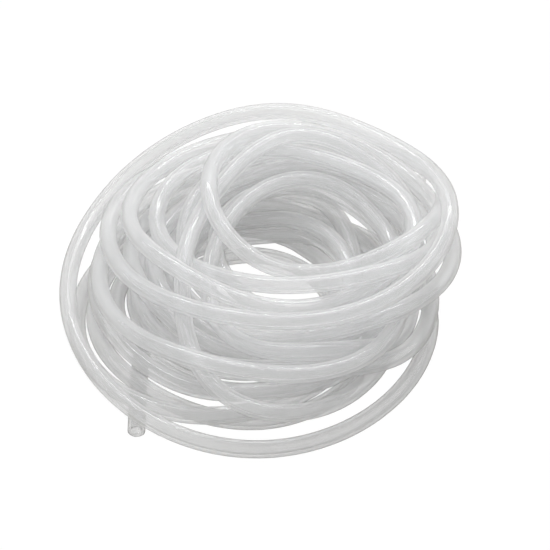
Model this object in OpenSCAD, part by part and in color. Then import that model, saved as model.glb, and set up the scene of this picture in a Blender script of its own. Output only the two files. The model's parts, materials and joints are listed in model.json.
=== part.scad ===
// Loose coil of silicone tubing, open at both ends, lying as it comes to rest.
// Each turn is laid as a tilted oval, and settle() then moves the turns apart until none overlap.

/* [Tube] */
// Outside diameter of the tube
tube_od = 8; // [6:0.5:8]
// Bore of the tube
tube_bore = 5; // [2:0.5:5]
// Length of each straight open end
end_length = 29; // [20:1:32]

/* [Coil] */
// Sideways turn of every oval, in degrees
oval_turn = -12; // [-16:1:-8]
// Arc over which one turn passes into the next, in degrees
handover_arc = 130; // [110:5:150]

/* [Detail] */
// Section planes in each full turn
planes = 18; // [16:2:18]
// Sides of the outer wall between the ends
wall_sides = 8; // [6:2:8]
// Sides of the bore between the ends
bore_sides = 6; // [4:1:6]
// Rounds of settling
rounds = 240; // [120:20:240]

/* [Hidden] */
tube_r = tube_od / 2;
bore_r = tube_bore / 2;

// The middle that every section plane passes through, and the azimuth where turns hand over
middle = [12, 12];
handover = 60;

// Each turn's oval seen from above, and its heights in the order that the tube passes them:
// [centre x, centre y, half width, half depth, height on the right, in front, on the left, at the back]
TURNS = [
    // Lower coil, spread over the floor
    [-3, 4, 48, 48, 4, 4, 4, 4],
    [-9, 6, 61, 60, 4, 4, 5, 6],
    [-2, 12, 50, 47, 5, 4, 6, 8],
    [-13, 2, 66, 69, 6, 4, 7, 9],
    [-6, 9, 58, 58, 10, 11, 10, 12],
    [1, 10, 52, 50, 10, 11, 11, 14],
    [-8, 8, 66, 66, 12, 11, 12, 15],
    [-16, 0, 62, 71, 8, 4, 4, 5],
    // Big outer loop, on the floor in front and over the top at the back, and the turn after it
    [-2, 1, 77, 79, 6, 4, 26, 54],
    [8, 18, 77, 58, 48, 42, 33, 40],
    // Ring round the hole, and the wide turns below it
    [27, 30, 52, 45, 50, 46, 50, 53],
    [14, 27, 69, 47, 46, 43, 42, 47],
    [10, 21, 71, 55, 39, 35, 36, 40],
    [14, 16, 66, 54, 34, 29, 33, 41],
    [22, 24, 58, 50, 30, 22, 33, 44],
    // Two narrow turns that drop steeply across the front
    [12, -1, 43, 76, 8, 14, 50, 48],
    [26, 28, 53, 46, 30, 18, 32, 40],
    [18, 4, 45, 60, 18, 24, 48, 46],
    // Middle of the heap
    [-2, 7, 75, 69, 27, 24, 28, 34],
    [9, 14, 64, 61, 25, 22, 25, 30],
    [13, 19, 57, 54, 20, 16, 22, 26],
    [5, 14, 62, 64, 18, 16, 19, 22],
];

// The first end runs straight to the front along this x, and the last end straight to the right along this y
first_line = -59;
last_line = 80;

// Where the tube starts, as a share of the first turn, counted in whole planes
skipped = planes / 2;
count = len(TURNS) * planes - skipped + 1;

// Settling: distance kept between centre lines, sag in a round, pull to the laid place, and step.
// The evening-out along the tube fades from its first value to its last, and the closing rounds only push.
spacing = tube_od + 0.8;
sag = 0.25;
pull = 0.03;
even_first = 0.5;
even_last = 0.02;
give = 1.2;
closing_rounds = 80;

function ease(t) = let(c = min(max(t, 0), 1)) c * c * (3 - 2 * c);

// Places are kept to a thousandth, so that settling comes out the same everywhere.
function kept(v) = [for (x = v) floor(x * 1000 + 0.5) / 1000];

function azimuth(i) = handover - 360 * (i + skipped) / planes;

// Distance from the middle to a turn's oval, along an azimuth: the far root of the line meeting the oval.
function reach(turn, az) =
    let (
        e = [cos(az - oval_turn) / turn[2], sin(az - oval_turn) / turn[3]],
        o = middle - [turn[0], turn[1]],
        m = [
            (o.x * cos(oval_turn) + o.y * sin(oval_turn)) / turn[2],
            (o.y * cos(oval_turn) - o.x * sin(oval_turn)) / turn[3]
        ],
        a = e * e,
        b = e * m
    )
    (sqrt(b * b - a * (m * m - 1)) - b) / a;

// Height along the coil: an easy curve through the four heights of each turn.
HEIGHTS = [for (turn = TURNS) for (k = [4 : 7]) turn[k]];

function height(along) =
    let (
        q = min(max((along - handover / 360) * 4, 0), len(HEIGHTS) - 1),
        k = min(floor(q), len(HEIGHTS) - 2),
        share = ease(q - k)
    )
    HEIGHTS[k] * (1 - share) + HEIGHTS[k + 1] * share;

// Place of sample i before settling, as [distance from the middle, height].
function laid(i) =
    let (
        along = (i + skipped) / planes,
        az = azimuth(i),
        next = round(along),
        share = ease((along - next) * 360 / handover_arc + 0.5),
        a = TURNS[max(next - 1, 0)],
        b = TURNS[min(next, len(TURNS) - 1)],
        out = reach(a, az) * (1 - share) + reach(b, az) * share,
        up = max(height(along), tube_r)
    )
    kept(
        along < 0.65 ? [(first_line - middle.x) / cos(az), tube_r]
        : along > len(TURNS) - 0.09 ? [(last_line - middle.y) / sin(az), up]
        : [out, up]
    );

LAID = [for (i = [0 : count - 1]) laid(i)];

// How squarely the tube crosses each plane: 1 is square on.
SQUARE = [
    for (i = [0 : count - 1])
        let (step = (LAID[min(i + 1, count - 1)].x - LAID[max(i - 1, 0)].x) / (720 / planes * PI / 180))
        1 / norm([1, step / LAID[i].x])
];

// Push between two stretches that run from one plane to the next: [share at the first plane, at the second].
function push(s, i, j) =
    let (
        k = min(SQUARE[i], SQUARE[j]),
        p = [(s[i].x - s[j].x) * k, s[i].y - s[j].y],
        q = [(s[i + 1].x - s[j + 1].x) * k, s[i + 1].y - s[j + 1].y],
        d = q - p,
        t = min(max(-(p * d) / (d * d + 0.000001), 0), 1),
        near = p + t * d,
        crossing = p.x * q.x < 0,
        above = LAID[i].y - LAID[j].y + 0.0001 * (i - j) > 0 ? 1 : -1,
        lap = spacing - (crossing ? above * near.y : norm(near))
    )
    lap <= 0 ? [0, 0, 0, 0]
    : let (
        way = crossing ? [0, above] : near / max(norm(near), 0.001),
        v = way * min(lap, tube_od) / 2 / max((1 - t) * (1 - t) + t * t, 0.5)
    )
    [v.x * (1 - t), v.y * (1 - t), v.x * t, v.y * t];

// The pushes on stretch i of every other turn that crosses the same two planes, added up.
function pushes(s, i) =
    let (list = [for (j = [i % planes : planes : count - 2]) if (j != i) push(s, i, j)])
    [for (k = [0 : 3]) [for (v = list) v[k]] * [for (v = list) 1]];

// One round: sag, pull to the laid place, evening-out along the tube, then the pushes. hold runs from 1 to 0.
function settle_once(s, hold) =
    let (
        sums = [for (i = [0 : count - 2]) pushes(s, i)],
        off = s - LAID,
        even = even_last + (even_first - even_last) * hold
    )
    [
        for (i = [0 : count - 1])
            let (
                beside = (off[max(i - 1, 0)] + off[min(i + 1, count - 1)]) / 2,
                here = i < count - 1 ? [sums[i][0], sums[i][1]] : [0, 0],
                carried = i > 0 ? [sums[i - 1][2], sums[i - 1][3]] : [0, 0],
                calm = s[i] - hold * (pull * off[i] + [0, sag]) + even * (beside - off[i]),
                moved = calm + give * (here + carried)
            )
            kept([moved.x, max(moved.y, tube_r)])
    ];

function settle(s, n) =
    n == 0 ? s
    : settle(settle_once(s, max(n - closing_rounds, 0) / (rounds - closing_rounds)), n - 1);

SETTLED = settle(LAID, rounds);

POINTS = [
    for (i = [0 : count - 1])
        [
            middle.x + SETTLED[i].x * cos(azimuth(i)),
            middle.y + SETTLED[i].x * sin(azimuth(i)),
            SETTLED[i].y
        ]
];

function unit(v) = v / norm(v);

// The sample before FIRST only guides the settling. Both ends are level, so the exact pieces that carry on
// from them start square: the first points to the front and the last to the right.
FIRST = 1;
LAST = count - 1;
first_way = [0, -1, 0];
last_way = [1, 0, 0];

function heading(i) =
    i == FIRST ? -first_way
    : i == LAST ? last_way
    : unit(unit(POINTS[i + 1] - POINTS[i]) + unit(POINTS[i] - POINTS[i - 1]));

// Points round the tube at one plane, square to it, with a flat side on top.
function ring(i, r, sides) =
    let (
        side = unit(cross(heading(i), [0, 0, 1])),
        top = cross(side, heading(i))
    )
    [
        for (k = [0 : sides - 1])
            let (a = 360 * (k + 0.5) / sides)
            POINTS[i] + r * (cos(a) * side + sin(a) * top)
    ];

WALL = [for (i = [FIRST : LAST]) each ring(i, tube_r, wall_sides)];
BORE = [for (i = [FIRST : LAST]) each ring(i, bore_r, bore_sides)];

// The coil is centred over the origin by its own outline seen from above, with its lowest side at height 0.
XS = [for (p = WALL) p.x, POINTS[LAST].x + end_length];
YS = [for (p = WALL) p.y, POINTS[FIRST].y - end_length];
CENTRE = [(min(XS) + max(XS)) / 2, (min(YS) + max(YS)) / 2, 0];

// Four-sided faces between neighbouring rings, looked at from outside the tube or from inside its bore.
function skin(start, sides, from_outside) = [
    for (i = [0 : LAST - FIRST - 1])
        for (k = [0 : sides - 1])
            let (
                a = start + i * sides + k,
                b = start + i * sides + (k + 1) % sides
            )
            from_outside ? [a, b, b + sides, a + sides] : [a, a + sides, b + sides, b]
];

// Flat face from the wall to the bore at one end, as triangles: every wall side goes with the nearest
// corner of the bore, and every bore side with the wall corner where that nearest one changes.
function rim(wall, bore, at_start) = [
    for (k = [0 : wall_sides - 1])
        let (
            a = wall + k,
            b = wall + (k + 1) % wall_sides,
            m = floor((k + 1) * bore_sides / wall_sides) % bore_sides,
            n = floor((k + 2) * bore_sides / wall_sides) % bore_sides,
            faces = m == n ? [[a, bore + m, b]] : [[a, bore + m, b], [b, bore + m, bore + n]]
        )
        each at_start ? faces : [for (f = faces) [f[2], f[1], f[0]]]
];

module turns() {
    bore = len(WALL);
    last = LAST - FIRST;
    polyhedron(
        points = concat(WALL, BORE),
        faces = concat(
            skin(0, wall_sides, true),
            skin(bore, bore_sides, false),
            rim(0, bore, true),
            rim(last * wall_sides, bore + last * bore_sides, false)
        ),
        convexity = 20
    );
}

// An exact round end with a true bore.
module open_end(at, way) {
    translate(at)
        rotate([0, 90, atan2(way.y, way.x)])
            difference() {
                cylinder(h = end_length, r = tube_r, $fn = 64);
                translate([0, 0, -1])
                    cylinder(h = end_length + 2, r = bore_r, $fn = 48);
            }
}

module tubing() {
    color([0.88, 0.9, 0.92])
        translate(-CENTRE) {
            turns();
            open_end(POINTS[FIRST], first_way);
            open_end(POINTS[LAST], last_way);
        }
}

tubing();
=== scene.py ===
"""Loose coil of translucent silicone tubing, lying on a pale studio floor.

The tubing is one hollow tube, open at both ends. Its route starts from the same turns and the same settling
rule as the solid model. It is then eased like a springy tube, so that it bends smoothly and rests on itself.

The rule is chaotic, so the strands settle exactly as the solid's do only for exactly the same radius. The radius
comes from a 32-bit setting, which is off in its eighth digit, and the strands settle some millimetres away.
"""
import json

import bpy
import numpy as np
from bpy.props import FloatProperty, FloatVectorProperty, IntProperty, PointerProperty
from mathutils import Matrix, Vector


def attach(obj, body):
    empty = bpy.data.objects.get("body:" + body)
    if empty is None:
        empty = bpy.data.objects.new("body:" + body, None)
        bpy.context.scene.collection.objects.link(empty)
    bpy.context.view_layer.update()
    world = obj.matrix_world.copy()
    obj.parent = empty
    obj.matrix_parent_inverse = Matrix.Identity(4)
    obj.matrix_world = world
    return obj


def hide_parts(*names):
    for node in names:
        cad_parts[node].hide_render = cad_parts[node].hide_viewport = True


bl_info = {
    "name": "Silicone tubing coil",
    "version": (1, 0, 0),
    "blender": (4, 5, 0),
    "location": "3D View > Sidebar > Tubing",
    "description": "Loose coil of translucent silicone tubing on a studio floor",
    "category": "Object",
}

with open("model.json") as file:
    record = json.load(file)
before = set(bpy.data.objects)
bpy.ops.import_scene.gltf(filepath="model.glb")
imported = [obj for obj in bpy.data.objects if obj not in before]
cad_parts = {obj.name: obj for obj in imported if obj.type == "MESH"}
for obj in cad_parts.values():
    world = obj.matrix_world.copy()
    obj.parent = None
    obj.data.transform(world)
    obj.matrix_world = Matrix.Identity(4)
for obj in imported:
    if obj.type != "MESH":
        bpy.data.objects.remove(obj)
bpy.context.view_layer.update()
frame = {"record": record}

MM = 0.001

# ---------------------------------------------------------------- route, in millimetres

# The middle that every section plane passes through, and the azimuth where turns hand over
MIDDLE = np.array([12.0, 12.0])
HANDOVER = 60
HANDOVER_ARC = 130
OVAL_TURN = -12
PLANES = 18

# Each turn's oval seen from above, and its heights in the order that the tube passes them:
# [centre x, centre y, half width, half depth, height on the right, in front, on the left, at the back]
TURNS = np.array([
    # Lower coil, spread over the floor
    [-3, 4, 48, 48, 4, 4, 4, 4],
    [-9, 6, 61, 60, 4, 4, 5, 6],
    [-2, 12, 50, 47, 5, 4, 6, 8],
    [-13, 2, 66, 69, 6, 4, 7, 9],
    [-6, 9, 58, 58, 10, 11, 10, 12],
    [1, 10, 52, 50, 10, 11, 11, 14],
    [-8, 8, 66, 66, 12, 11, 12, 15],
    [-16, 0, 62, 71, 8, 4, 4, 5],
    # Big outer loop, on the floor in front and over the top at the back, and the turn after it
    [-2, 1, 77, 79, 6, 4, 26, 54],
    [8, 18, 77, 58, 48, 42, 33, 40],
    # Ring round the hole, and the wide turns below it
    [27, 30, 52, 45, 50, 46, 50, 53],
    [14, 27, 69, 47, 46, 43, 42, 47],
    [10, 21, 71, 55, 39, 35, 36, 40],
    [14, 16, 66, 54, 34, 29, 33, 41],
    [22, 24, 58, 50, 30, 22, 33, 44],
    # Two narrow turns that drop steeply across the front
    [12, -1, 43, 76, 8, 14, 50, 48],
    [26, 28, 53, 46, 30, 18, 32, 40],
    [18, 4, 45, 60, 18, 24, 48, 46],
    # Middle of the heap
    [-2, 7, 75, 69, 27, 24, 28, 34],
    [9, 14, 64, 61, 25, 22, 25, 30],
    [13, 19, 57, 54, 20, 16, 22, 26],
    [5, 14, 62, 64, 18, 16, 19, 22],
], dtype=float)

# The first end runs straight to the front along this x, and the last end straight to the right along this y
FIRST_LINE = -59
LAST_LINE = 80
END_LENGTH = 29

# In turns: where the first end's straight run stops, and how far before the coil's end the last one starts
FIRST_RUN = 0.65
LAST_RUN = 0.09

# Settling: rounds, distance kept beyond touching, sag in a round, pull to the laid place, evening-out, step
ROUNDS = 240
CLOSING_ROUNDS = 80
SPARE = 0.8
SAG = 0.25
PULL = 0.03
EVEN_FIRST = 0.5
EVEN_LAST = 0.02
GIVE = 1.2

# Easing: length of a link, rounds, last rounds that only push, smoothing of the kinks, stiffness against bending,
# pull to the settled route, droop in a round, gap kept between walls, and step
LINK = 5.0
EASE_ROUNDS = 300
LAST_PUSHES = 20
SMOOTHING = 200.0
STIFFNESS = 30.0
HOLD = 0.02
DROOP = 0.04
SKIN = 0.05
STEP = 1.3

# Links fewer than this apart along the tube never push each other. Pairs are looked up again after so many
# rounds, and with this much room beyond touching.
LINKS_APART = 6
LOOK_EVERY = 8
LOOK_ROOM = 3

# Parts that a curve cuts each span into: through the settled points, and through the eased links
SETTLED_PARTS = 24
LINK_PARTS = 3


def ease(t):
    """Smooth step: 3 t squared less 2 t cubed, held between 0 and 1."""
    t = np.clip(t, 0, 1)
    return t * t * (3 - 2 * t)


def kept(v):
    """Lengths rounded to a thousandth, so that settling comes out the same everywhere."""
    return np.floor(v * 1000 + 0.5) / 1000


def reach(turns, azimuths):
    """Distance from the middle to each turn's oval along an azimuth: the far root of line meets ellipse."""
    tilt = np.radians(OVAL_TURN)
    a = np.radians(azimuths) - tilt
    ex, ey = np.cos(a) / turns[:, 2], np.sin(a) / turns[:, 3]
    ox, oy = MIDDLE[0] - turns[:, 0], MIDDLE[1] - turns[:, 1]
    mx = (ox * np.cos(tilt) + oy * np.sin(tilt)) / turns[:, 2]
    my = (oy * np.cos(tilt) - ox * np.sin(tilt)) / turns[:, 3]
    square, half = ex * ex + ey * ey, ex * mx + ey * my
    return (np.sqrt(half * half - square * (mx * mx + my * my - 1)) - half) / square


def laid_places(tube_r):
    """Azimuth and place [distance from the middle, height] of every sample before settling.

    The distance blends from one turn's oval to the next around the handover azimuth, and the height is a
    smooth step between the four heights of each turn.
    """
    skipped = PLANES // 2
    i = np.arange(len(TURNS) * PLANES - skipped + 1)
    along = (i + skipped) / PLANES
    azimuths = HANDOVER - 360 * along
    nearest = np.floor(along + 0.5).astype(int)
    share = ease((along - nearest) * 360 / HANDOVER_ARC + 0.5)
    before = TURNS[np.maximum(nearest - 1, 0)]
    after = TURNS[np.minimum(nearest, len(TURNS) - 1)]
    out = reach(before, azimuths) * (1 - share) + reach(after, azimuths) * share
    heights = TURNS[:, 4:].ravel()
    q = np.clip((along - HANDOVER / 360) * 4, 0, len(heights) - 1)
    k = np.minimum(np.floor(q).astype(int), len(heights) - 2)
    share = ease(q - k)
    up = np.maximum(heights[k] * (1 - share) + heights[k + 1] * share, tube_r)
    start = along < FIRST_RUN
    out[start] = (FIRST_LINE - MIDDLE[0]) / np.cos(np.radians(azimuths[start]))
    up[start] = tube_r
    end = along > len(TURNS) - LAST_RUN
    out[end] = (LAST_LINE - MIDDLE[1]) / np.sin(np.radians(azimuths[end]))
    return azimuths, kept(np.stack([out, up], axis=1))


def stretch_pairs(count):
    """Every two stretches of tube that run between the same two section planes."""
    first = np.arange(count - 1)
    i, j = np.meshgrid(first, first, indexing="ij")
    pick = ((i - j) % PLANES == 0) & (i != j)
    return i[pick], j[pick]


def settled_points(tube_r):
    """Points of the settled route, one for each section plane that the tube crosses."""
    azimuths, laid = laid_places(tube_r)
    count = len(laid)
    padded = np.concatenate([laid[:1, 0], laid[:, 0], laid[-1:, 0]])
    slope = (padded[2:] - padded[:-2]) / (720 / PLANES * np.pi / 180)
    square = 1 / np.sqrt(1 + (slope / laid[:, 0]) ** 2)
    i, j = stretch_pairs(count)
    squash = np.stack([np.minimum(square[i], square[j]), np.ones(len(i))], axis=1)
    above = np.where(laid[i, 1] - laid[j, 1] + 0.0001 * (i - j) > 0, 1.0, -1.0)
    spacing = 2 * tube_r + SPARE
    state = laid.copy()
    for left in range(ROUNDS, 0, -1):
        hold = max(left - CLOSING_ROUNDS, 0) / (ROUNDS - CLOSING_ROUNDS)
        p = (state[i] - state[j]) * squash
        q = (state[i + 1] - state[j + 1]) * squash
        d = q - p
        t = np.clip(-(p * d).sum(1) / ((d * d).sum(1) + 0.000001), 0, 1)
        near = p + t[:, None] * d
        length = np.linalg.norm(near, axis=1)
        crossing = p[:, 0] * q[:, 0] < 0
        lap = spacing - np.where(crossing, above * near[:, 1], length)
        upright = np.stack([np.zeros(len(i)), above], axis=1)
        way = np.where(crossing[:, None], upright, near / np.maximum(length, 0.001)[:, None])
        size = np.clip(lap, 0, 2 * tube_r) / 2 / np.maximum((1 - t) ** 2 + t * t, 0.5)
        push = way * size[:, None]
        total = np.zeros_like(state)
        np.add.at(total, i, push * (1 - t)[:, None])
        np.add.at(total, i + 1, push * t[:, None])
        off = state - laid
        beside = (np.vstack([off[:1], off[:-1]]) + np.vstack([off[1:], off[-1:]])) / 2
        even = EVEN_LAST + (EVEN_FIRST - EVEN_LAST) * hold
        state = state - hold * (PULL * off + np.array([0, SAG])) + even * (beside - off) + GIVE * total
        state[:, 1] = np.maximum(state[:, 1], tube_r)
        state = kept(state)
    turn = np.radians(azimuths)
    return np.stack([
        MIDDLE[0] + state[:, 0] * np.cos(turn),
        MIDDLE[1] + state[:, 0] * np.sin(turn),
        state[:, 1],
    ], axis=1)


def evenly(points, spacing):
    """The same line with its points an even distance apart."""
    run = np.concatenate([[0], np.cumsum(np.linalg.norm(np.diff(points, axis=0), axis=1))])
    places = np.linspace(0, run[-1], int(round(run[-1] / spacing)) + 1)
    return np.stack([np.interp(places, run, points[:, k]) for k in range(3)], axis=1)


def curve_through(points, parts):
    """Centripetal Catmull-Rom curve: each span is cut into parts, and blends linear runs in three steps."""
    ends = np.vstack([2 * points[0] - points[1], points, 2 * points[-1] - points[-2]])
    p = [ends[k:len(ends) - 3 + k][:, None] for k in range(4)]
    knots = [np.zeros_like(p[0][..., :1])]
    for k in range(3):
        knots.append(knots[-1] + np.sqrt(np.linalg.norm(p[k + 1] - p[k], axis=2, keepdims=True)))
    t = knots[1] + (knots[2] - knots[1]) * (np.arange(parts) / parts)[None, :, None]

    def between(a, b, low, high):
        return ((high - t) * a + (t - low) * b) / (high - low)

    a = [between(p[k], p[k + 1], knots[k], knots[k + 1]) for k in range(3)]
    b = [between(a[k], a[k + 1], knots[k], knots[k + 2]) for k in range(2)]
    spans = between(b[0], b[1], knots[1], knots[2])
    return np.vstack([spans.reshape(-1, 3), points[-1:]])


def links_near(x, distance, apart):
    """Pairs of links whose middles are within a distance, leaving out those close along the tube."""
    middles = (x[1:] + x[:-1]) / 2
    dots = middles @ middles.T
    sizes = np.diag(dots)
    gaps = sizes[:, None] + sizes[None] - 2 * dots
    return np.nonzero(np.triu(gaps < distance * distance, apart))


def contact_pushes(x, i, j, distance):
    """Average push on each joint that parts the links nearer than the distance, along their common normal."""
    u, v, w = x[i + 1] - x[i], x[j + 1] - x[j], x[i] - x[j]
    a, b, c = (u * u).sum(1), (u * v).sum(1), (v * v).sum(1)
    d, e = (u * w).sum(1), (v * w).sum(1)
    area = a * c - b * b
    s = np.where(area > 1e-9 * a * c, np.clip((b * e - c * d) / np.maximum(area, 1e-12), 0, 1), 0.5)
    t = np.clip((b * s + e) / c, 0, 1)
    s = np.clip((b * t - d) / a, 0, 1)
    r = w + s[:, None] * u - t[:, None] * v
    length = np.linalg.norm(r, axis=1)
    touching = length < distance
    i, j, s, t = i[touching], j[touching], s[touching], t[touching]
    r, length = r[touching], np.maximum(length[touching], 1e-6)
    push = r * ((distance - length) / 2 / length)[:, None]
    total, weight = np.zeros_like(x), np.zeros(len(x))
    for joint, part, sign in ((i, 1 - s, 1), (i + 1, s, 1), (j, 1 - t, -1), (j + 1, t, -1)):
        np.add.at(total, joint, sign * part[:, None] * push)
        np.add.at(weight, joint, part)
    return total / np.maximum(weight, 1)[:, None]


def eased(points, tube_r):
    """The route as a springy tube takes it.

    It is a chain of links. Smoothing solves (1 + k B) x = y, where B is the square of the second difference
    along the chain. A first solve takes the kinks out of the settled route. Then every round lets the chain
    droop a little, pushes links apart that are nearer than a diameter, and spreads those moves along the
    chain by the same solve. The last rounds only push.
    """
    home = evenly(curve_through(points, SETTLED_PARTS), LINK)
    count = len(home)
    second = np.zeros((count - 2, count))
    row = np.arange(count - 2)
    second[row, row], second[row, row + 1], second[row, row + 2] = 1, -2, 1
    bending = second.T @ second
    unit = np.eye(count)
    smooth = np.linalg.inv(unit + SMOOTHING * bending)
    soft = smooth @ home
    soft = soft + smooth @ (home - soft)
    soft[:, 2] = np.maximum(soft[:, 2], tube_r)
    spread = np.linalg.inv((1 + HOLD) * unit + STIFFNESS * bending)
    distance = 2 * tube_r + SKIN
    x = soft.copy()
    for n in range(EASE_ROUNDS):
        if n % LOOK_EVERY == 0:
            i, j = links_near(x, distance + LINK + LOOK_ROOM, LINKS_APART)
        moved = x + STEP * contact_pushes(x, i, j, distance)
        moved[:, 2] -= DROOP * (1 - n / EASE_ROUNDS)
        x = soft + spread @ (moved - soft) if n < EASE_ROUNDS - LAST_PUSHES else moved
        x[:, 2] = np.maximum(x[:, 2], tube_r)
    return x


def tubing_route(tube_r):
    """Middle line of the tube from its first tip to its last, in metres and in the solid model's frame."""
    points = settled_points(tube_r)[1:]
    first_tip = points[0] + [0, -END_LENGTH, 0]
    last_tip = points[-1] + [END_LENGTH, 0, 0]
    line = curve_through(eased(np.vstack([first_tip, points, last_tip]), tube_r), LINK_PARTS)
    tip = next(m["pos_m"] for m in frame["record"]["mounts"] if m["name"] == "first_end")
    shift = np.array(tip) - first_tip * MM
    return line * MM + [shift[0], shift[1], 0]


# ---------------------------------------------------------------- mesh

def tube_surface(line, wall_r, bore_r, rings, sides, rounding):
    """Closed surface of a hollow tube, as one grid of stations by sides.

    A station is a circle square to the middle line: point(u, v) = line(u) + r(u) (cos v side + sin v top),
    where side is level. The stations run along the wall from the first tip to the last, and back along the
    bore, and at each tip the radius is cut back by the rounding, so the grid closes on itself both ways.
    Also gives each point's distance along the tube and its angle around it, and the tube's length.
    """
    run = np.concatenate([[0], np.cumsum(np.linalg.norm(np.diff(line, axis=0), axis=1))])
    length = run[-1]
    inner = np.linspace(rounding, length - rounding, rings)
    tips = np.array([0, length])
    out = np.concatenate([tips[:1], inner, tips[1:]])
    wall = np.full(len(out), wall_r)
    wall[[0, -1]] -= rounding
    bore = np.full(len(out), bore_r)
    bore[[0, -1]] += rounding
    along = np.concatenate([out, out[::-1]])
    radius = np.concatenate([wall, bore])
    centre = np.stack([np.interp(along, run, line[:, k]) for k in range(3)], axis=1)
    heading = np.gradient(line, axis=0)
    heading /= np.linalg.norm(heading, axis=1)[:, None]
    way = np.stack([np.interp(along, run, heading[:, k]) for k in range(3)], axis=1)
    way /= np.linalg.norm(way, axis=1)[:, None]
    side = np.cross(way, [0, 0, 1])
    side /= np.linalg.norm(side, axis=1)[:, None]
    top = np.cross(side, way)
    angle = 2 * np.pi * np.arange(sides) / sides
    c, s = np.cos(angle)[None, :, None], np.sin(angle)[None, :, None]
    r = radius[:, None, None]
    grid = centre[:, None] + r * (c * side[:, None] + s * top[:, None])
    return grid, along[:, None], np.arctan2(r * s, r * c)[..., 0], length


def waves(along, around, short, long, turns, count, seed):
    """Smooth random pattern on a tube, from 0 to 1.

    value = 1/2 + sum of sin(2 pi along / length_k + turn_k around + start_k) / (2 sqrt(count)), with random
    lengths between short and long, whole turns and starts.
    """
    rng = np.random.default_rng(seed)
    total = np.zeros(np.broadcast(along, around).shape)
    for _ in range(count):
        length = rng.uniform(short, long)
        total += np.sin(2 * np.pi * along / length + rng.integers(-turns, turns + 1) * around + rng.uniform(0, 6))
    return np.clip(0.5 + total / 2 / np.sqrt(count), 0, 1)


def grain_values(along, around):
    """Clouds and streaks of the silicone at every point of the tube's grid, as [cloud, streak, 0]."""
    clouds = waves(along, around, 0.02, 0.3, 2, 12, 3)
    streaks = waves(along, around, 0.2, 1.5, 7, 24, 5)
    return np.stack([clouds, streaks, 0 * clouds], axis=-1)


def closed_grid_mesh(name, grid, grain):
    """Mesh of a grid that closes on itself in both directions, with smooth faces.

    The grain is a grid of vectors, kept as the point attribute of that name.
    """
    stations, sides = grid.shape[:2]
    i, k = np.meshgrid(np.arange(stations), np.arange(sides), indexing="ij")
    ahead, round_on = (i + 1) % stations, (k + 1) % sides
    faces = np.stack([
        i * sides + k, i * sides + round_on, ahead * sides + round_on, ahead * sides + k,
    ], axis=-1).reshape(-1, 4)
    mesh = bpy.data.meshes.new(name)
    mesh.vertices.add(stations * sides)
    mesh.vertices.foreach_set("co", grid.astype(np.float32).ravel())
    mesh.loops.add(faces.size)
    mesh.loops.foreach_set("vertex_index", faces.astype(np.int32).ravel())
    mesh.polygons.add(len(faces))
    mesh.polygons.foreach_set("loop_start", np.arange(0, faces.size, 4, dtype=np.int32))
    layer = mesh.attributes.new("grain", "FLOAT_VECTOR", "POINT")
    layer.data.foreach_set("vector", grain.astype(np.float32).ravel())
    mesh.update(calc_edges=True)
    mesh.validate()
    mesh.shade_smooth()
    piece = bpy.data.objects.new(name, mesh)
    bpy.context.collection.objects.link(piece)
    return piece


# ---------------------------------------------------------------- shaders

# Share of light that the gloss sends back square on, in Schlick's rule
SQUARE_SHARE = 0.03


class Maths:
    """A socket or a number that adds Math nodes to a node tree as an expression is worked out."""

    def __init__(self, tree, value):
        self.tree = tree
        self.value = value

    def node(self, kind, settings=None, **sockets):
        """Any other node: its type, its settings first, and then its sockets' values or links by name."""
        made = self.tree.nodes.new(kind)
        for key, value in (settings or {}).items():
            setattr(made, key, value)
        for key, value in sockets.items():
            socket = made.inputs[key.replace("_", " ")]
            self.fill(socket, value)
        return made

    def fill(self, socket, value):
        """Links a socket or sets its value."""
        value = value.value if isinstance(value, Maths) else value
        if isinstance(value, bpy.types.NodeSocket):
            self.tree.links.new(value, socket)
        else:
            socket.default_value = value

    def of(self, socket):
        """The same tree with another socket."""
        return Maths(self.tree, socket)

    def math(self, operation, a, b=0.0):
        """One Math node."""
        made = self.tree.nodes.new("ShaderNodeMath")
        made.operation = operation
        self.fill(made.inputs[0], a)
        self.fill(made.inputs[1], b)
        return self.of(made.outputs[0])

    def __add__(self, other):
        return self.math("ADD", self, other)

    def __radd__(self, other):
        return self.math("ADD", other, self)

    def __sub__(self, other):
        return self.math("SUBTRACT", self, other)

    def __rsub__(self, other):
        return self.math("SUBTRACT", other, self)

    def __mul__(self, other):
        return self.math("MULTIPLY", self, other)

    def __rmul__(self, other):
        return self.math("MULTIPLY", other, self)

    def mixed(self, share, first, second):
        """A Mix Shader of two shader nodes, with the second one's share."""
        made = self.tree.nodes.new("ShaderNodeMixShader")
        self.fill(made.inputs[0], share)
        self.fill(made.inputs[1], first.outputs[0])
        self.fill(made.inputs[2], second.outputs[0])
        return made

    def maximum(self, other):
        """The larger of two values."""
        return self.math("MAXIMUM", self, other)


def new_material(name):
    """An empty material with its output node, and the maths helper on its tree."""
    material = bpy.data.materials.new(name)
    material.use_nodes = True
    material.node_tree.nodes.clear()
    return material, Maths(material.node_tree, 0.0)


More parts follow.
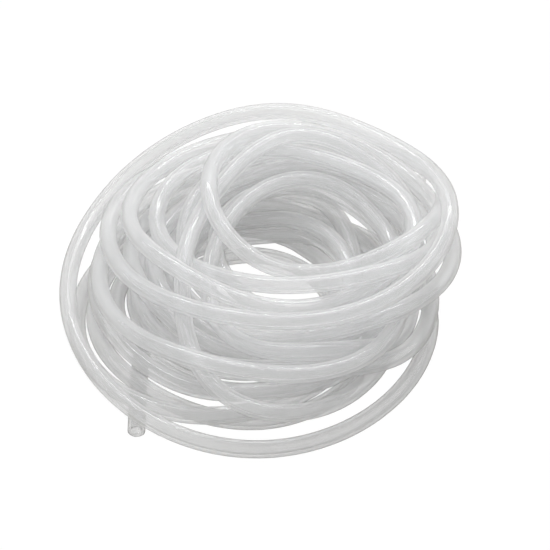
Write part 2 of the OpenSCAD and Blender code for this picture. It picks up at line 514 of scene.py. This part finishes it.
def silicone_material(settings):
    """Milky silicone rubber: each face of the wall is a cloudy film that partly bends and partly blurs light.

    The film is denser seen at a slant: density = square-on part + slant part * slant squared + streaks. The
    attribute "grain" holds clouds, which shift the colour, and streaks along the tube. A clear gloss lies over
    it all, whose share is a + (1 - a) slant to the fifth, with a the share square on (Schlick).
    """
    material, m = new_material("Milky silicone")
    grain = m.node("ShaderNodeAttribute", {"attribute_name": "grain"}).outputs["Vector"]
    parts = m.node("ShaderNodeSeparateXYZ", Vector=grain).outputs
    clouds, streaks = m.of(parts[0]), m.of(parts[1])
    colour = m.node("ShaderNodeMix", {"data_type": "RGBA"})
    m.fill(colour.inputs[0], clouds)
    m.fill(colour.inputs[6], (*settings.colour, 1.0))
    m.fill(colour.inputs[7], (*settings.cloud_colour, 1.0))
    rubber = m.node(
        "ShaderNodeBsdfPrincipled",
        Base_Color=colour.outputs[2],
        Roughness=settings.roughness,
        IOR=settings.ior,
        Transmission_Weight=settings.clearness,
    )
    glow = m.node("ShaderNodeBsdfTranslucent", Color=(*settings.cloud_colour, 1.0))
    cloudy = m.mixed(settings.cloudiness, rubber, glow)
    slant = m.of(m.node("ShaderNodeLayerWeight", Blend=0.5).outputs["Facing"])
    squared = slant * slant
    square_on = streaks * settings.streaks + (settings.density - settings.streaks / 2)
    hidden = squared * settings.slant_density + square_on
    film = m.mixed(hidden, m.node("ShaderNodeBsdfTransparent"), cloudy)
    shine = (squared * squared * slant * (1 - SQUARE_SHARE) + SQUARE_SHARE) * settings.shine
    mirror = m.node("ShaderNodeBsdfPrincipled", Base_Color=(1, 1, 1, 1), Metallic=1.0, Roughness=settings.gloss)
    coated = m.mixed(shine, film, mirror)
    m.node("ShaderNodeOutputMaterial", Surface=coated.outputs[0])
    return material


# ---------------------------------------------------------------- settings

class TubingSettings(bpy.types.PropertyGroup):
    """Sizes and finish of the tubing."""

    outside_diameter: FloatProperty(
        name="Outside diameter", description="Diameter over the tube's wall",
        default=0.008, min=0.006, max=0.008, subtype="DISTANCE", unit="LENGTH")
    bore: FloatProperty(
        name="Bore", description="Diameter of the hole along the tube",
        default=0.005, min=0.002, max=0.005, subtype="DISTANCE", unit="LENGTH")
    end_rounding: FloatProperty(
        name="End rounding", description="Rounding of the edges at the cut ends",
        default=0.00015, min=0.00005, max=0.0004, subtype="DISTANCE", unit="LENGTH")
    rings: IntProperty(
        name="Rings", description="Circles along the tube", default=2700, min=1200, max=2750)
    sides: IntProperty(
        name="Sides", description="Points on each circle", default=18, min=12, max=18)
    colour: FloatVectorProperty(
        name="Colour", description="Colour of the silicone where it is clearest",
        subtype="COLOR", default=(0.99, 0.993, 0.997), min=0, max=1)
    cloud_colour: FloatVectorProperty(
        name="Cloud colour", description="Colour of the silicone where it is milkiest",
        subtype="COLOR", default=(0.997, 0.999, 1.0), min=0, max=1)
    density: FloatProperty(
        name="Density", description="How much each face of the wall hides, seen square on",
        default=0.3, min=0, max=1, subtype="FACTOR")
    slant_density: FloatProperty(
        name="Slant density", description="How much more each face hides, seen at a slant",
        default=0.72, min=0, max=1, subtype="FACTOR")
    streaks: FloatProperty(
        name="Streaks", description="How much the density varies in streaks along the tube",
        default=0.06, min=0, max=1, subtype="FACTOR")
    cloudiness: FloatProperty(
        name="Cloudiness", description="Share of the film that only lets a blurred glow through",
        default=0.4, min=0, max=1, subtype="FACTOR")
    clearness: FloatProperty(
        name="Clearness", description="Share of the rest that bends light as clear rubber does",
        default=0.5, min=0, max=1, subtype="FACTOR")
    roughness: FloatProperty(
        name="Roughness", description="Blur of what is seen in and through the surface",
        default=0.13, min=0.05, max=1, subtype="FACTOR")
    ior: FloatProperty(
        name="IOR", description="Refraction of silicone rubber", default=1.41, min=1, max=2)
    shine: FloatProperty(
        name="Shine", description="Strength of the clear gloss over the wall",
        default=0.7, min=0, max=2, subtype="FACTOR")
    gloss: FloatProperty(
        name="Gloss blur", description="Roughness of that gloss",
        default=0.1, min=0.02, max=1, subtype="FACTOR")


class StageSettings(bpy.types.PropertyGroup):
    """Floor, lamps and camera."""

    floor_colour: FloatVectorProperty(
        name="Floor colour", description="Colour of the floor",
        subtype="COLOR", default=(0.62, 0.61, 0.585), min=0, max=1)
    floor_white: FloatProperty(
        name="Floor white", description="How far the floor is lifted to plain white where it is seen",
        default=0.97, min=0, max=1, subtype="FACTOR")
    through_white: FloatProperty(
        name="White through the tube", description="How far it is lifted where it is seen through the tube",
        default=0.0, min=0, max=1, subtype="FACTOR")
    camera_elevation: FloatProperty(
        name="Camera elevation", description="Angle of the camera above the floor",
        default=np.radians(43), min=0, max=1.5, subtype="ANGLE", unit="ROTATION")
    camera_distance: FloatProperty(
        name="Camera distance", description="Distance from the camera to what it looks at",
        default=0.9, min=0.3, max=3, subtype="DISTANCE", unit="LENGTH")
    camera_lens: FloatProperty(
        name="Lens", description="Focal length", default=126, min=20, max=300, subtype="DISTANCE_CAMERA")
    camera_target: FloatVectorProperty(
        name="Camera target", description="Point that the camera looks at",
        default=(0.0062, 0.0013, 0.028), subtype="XYZ", unit="LENGTH")
    key_power: FloatProperty(
        name="Key lamp", description="Power of the softbox close above", default=0.38, min=0, max=100,
        subtype="POWER", unit="POWER")
    strip_power: FloatProperty(
        name="Strip lamp", description="Power of the narrow lamp that makes the glints", default=0.4, min=0,
        max=100, subtype="POWER", unit="POWER")
    lamp_colour: FloatVectorProperty(
        name="Lamp colour", description="Colour of the lamps",
        subtype="COLOR", default=(0.975, 0.985, 1.0), min=0, max=1)
    fill_power: FloatProperty(
        name="Fill lamps", description="Power of the lamp on each side", default=0.4, min=0, max=100,
        subtype="POWER", unit="POWER")
    ambient: FloatProperty(
        name="Ambient", description="Strength of the light from all round", default=0.42, min=0, max=2)


# ---------------------------------------------------------------- pieces

class TUBING_OT_tube(bpy.types.Operator):
    """Make the coiled tube and its milky silicone."""

    bl_idname = "tubing.tube"
    bl_label = "Tube"

    def execute(self, context):
        settings = context.scene.tubing
        wall_r = settings.outside_diameter / 2
        line = tubing_route(wall_r / MM)
        grid, along, around, length = tube_surface(
            line, wall_r, settings.bore / 2, settings.rings, settings.sides, settings.end_rounding)
        tube = closed_grid_mesh("coiled_tube", grid, grain_values(along, around))
        tube.data.materials.append(silicone_material(settings))
        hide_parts("tubing")
        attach(tube, "root")
        return {"FINISHED"}


class TUBING_OT_stage(bpy.types.Operator):
    """Make the floor, the lamps, the surroundings and the camera."""

    bl_idname = "tubing.stage"
    bl_label = "Stage"

    def execute(self, context):
        settings = context.scene.tubing_stage
        self.camera(context, settings)
        self.floor(context, settings)
        self.lamps(context, settings)
        self.surroundings(context, settings)
        context.scene.view_settings.view_transform = "Standard"
        context.scene.cycles.transparent_max_bounces = 64
        context.scene.cycles.transmission_bounces = 24
        context.scene.cycles.max_bounces = 32
        return {"FINISHED"}

    def camera(self, context, settings):
        """Camera in front, looking down at the coil."""
        data = bpy.data.cameras.new("Camera")
        data.lens = settings.camera_lens
        camera = bpy.data.objects.new("Camera", data)
        context.collection.objects.link(camera)
        up = settings.camera_elevation
        back = Vector((0, -np.cos(up), np.sin(up))) * settings.camera_distance
        camera.location = Vector(settings.camera_target) + back
        camera.rotation_euler = (-back).to_track_quat("-Z", "Y").to_euler()
        context.scene.camera = camera

    def floor(self, context, settings):
        """A wide plain floor that shows as white, with the coil's soft shadow."""
        half = 3.0
        mesh = bpy.data.meshes.new("floor")
        corners = [(-half, -half, 0), (half, -half, 0), (half, half, 0), (-half, half, 0)]
        mesh.from_pydata(corners, [], [(0, 1, 2, 3)])
        floor = bpy.data.objects.new("floor", mesh)
        context.collection.objects.link(floor)
        material, m = new_material("Studio floor")
        rays = m.node("ShaderNodeLightPath").outputs
        through = m.of(rays["Is Glossy Ray"]).maximum(rays["Is Transmission Ray"]) * settings.through_white
        seen = (m.of(rays["Is Camera Ray"]) * settings.floor_white).maximum(through)
        matt = m.node("ShaderNodeBsdfDiffuse", Color=(*settings.floor_colour, 1.0))
        white = m.node("ShaderNodeEmission", Color=(1, 1, 1, 1), Strength=1.03)
        mix = m.mixed(seen, matt, white)
        m.node("ShaderNodeOutputMaterial", Surface=mix.outputs[0])
        mesh.materials.append(material)

    def lamps(self, context, settings):
        """A softbox close above the coil, a bright strip for the glints, and a large dim lamp on each side."""
        middle = Vector((0, 0, 0.03))
        for name, place, width, depth, power in (
            ("Key lamp", (0, 0.1, 0.36), 0.3, 0.3, settings.key_power),
            ("Strip lamp", (0, 0.25, 0.45), 0.4, 0.03, settings.strip_power),
            ("Left lamp", (-1.0, -0.3, 0.6), 0.8, 0.8, settings.fill_power),
            ("Right lamp", (1.0, -0.2, 0.6), 0.8, 0.8, settings.fill_power),
        ):
            data = bpy.data.lights.new(name, "AREA")
            data.shape = "RECTANGLE"
            data.size = width
            data.size_y = depth
            data.color = settings.lamp_colour
            data.energy = power
            lamp = bpy.data.objects.new(name, data)
            context.collection.objects.link(lamp)
            lamp.location = place
            lamp.rotation_euler = (middle - lamp.location).to_track_quat("-Z", "Y").to_euler()

    def surroundings(self, context, settings):
        """White where it is seen, and a dimmer even light on everything."""
        world = bpy.data.worlds.new("Studio")
        world.use_nodes = True
        world.node_tree.nodes.clear()
        m = Maths(world.node_tree, 0.0)
        rays = m.node("ShaderNodeLightPath").outputs
        seen = m.of(rays["Is Camera Ray"]).maximum(rays["Is Glossy Ray"]).maximum(rays["Is Transmission Ray"])
        strength = seen * (1 - settings.ambient) + settings.ambient
        sky = m.node("ShaderNodeBackground", Color=(1, 1, 1, 1), Strength=strength)
        m.node("ShaderNodeOutputWorld", Surface=sky.outputs[0])
        context.scene.world = world


class TUBING_PT_panel(bpy.types.Panel):
    """Panel in the sidebar with the settings and the pieces."""

    bl_label = "Silicone tubing"
    bl_idname = "TUBING_PT_panel"
    bl_space_type = "VIEW_3D"
    bl_region_type = "UI"
    bl_category = "Tubing"

    def draw(self, context):
        for group, operator in (
            (context.scene.tubing, TUBING_OT_tube),
            (context.scene.tubing_stage, TUBING_OT_stage),
        ):
            box = self.layout.box()
            for name in group.__annotations__:
                box.prop(group, name)
            box.operator(operator.bl_idname)


CLASSES = (TubingSettings, StageSettings, TUBING_OT_tube, TUBING_OT_stage, TUBING_PT_panel)


def register():
    """Register the classes and hang the settings on the scene."""
    for cls in CLASSES:
        bpy.utils.register_class(cls)
    bpy.types.Scene.tubing = PointerProperty(type=TubingSettings)
    bpy.types.Scene.tubing_stage = PointerProperty(type=StageSettings)


def unregister():
    """Take the settings and the classes away again."""
    del bpy.types.Scene.tubing_stage
    del bpy.types.Scene.tubing
    for cls in reversed(CLASSES):
        bpy.utils.unregister_class(cls)


def main():
    """Make the stage and the tube."""
    register()
    bpy.ops.tubing.stage()
    bpy.ops.tubing.tube()


if __name__ == "__main__":
    main()
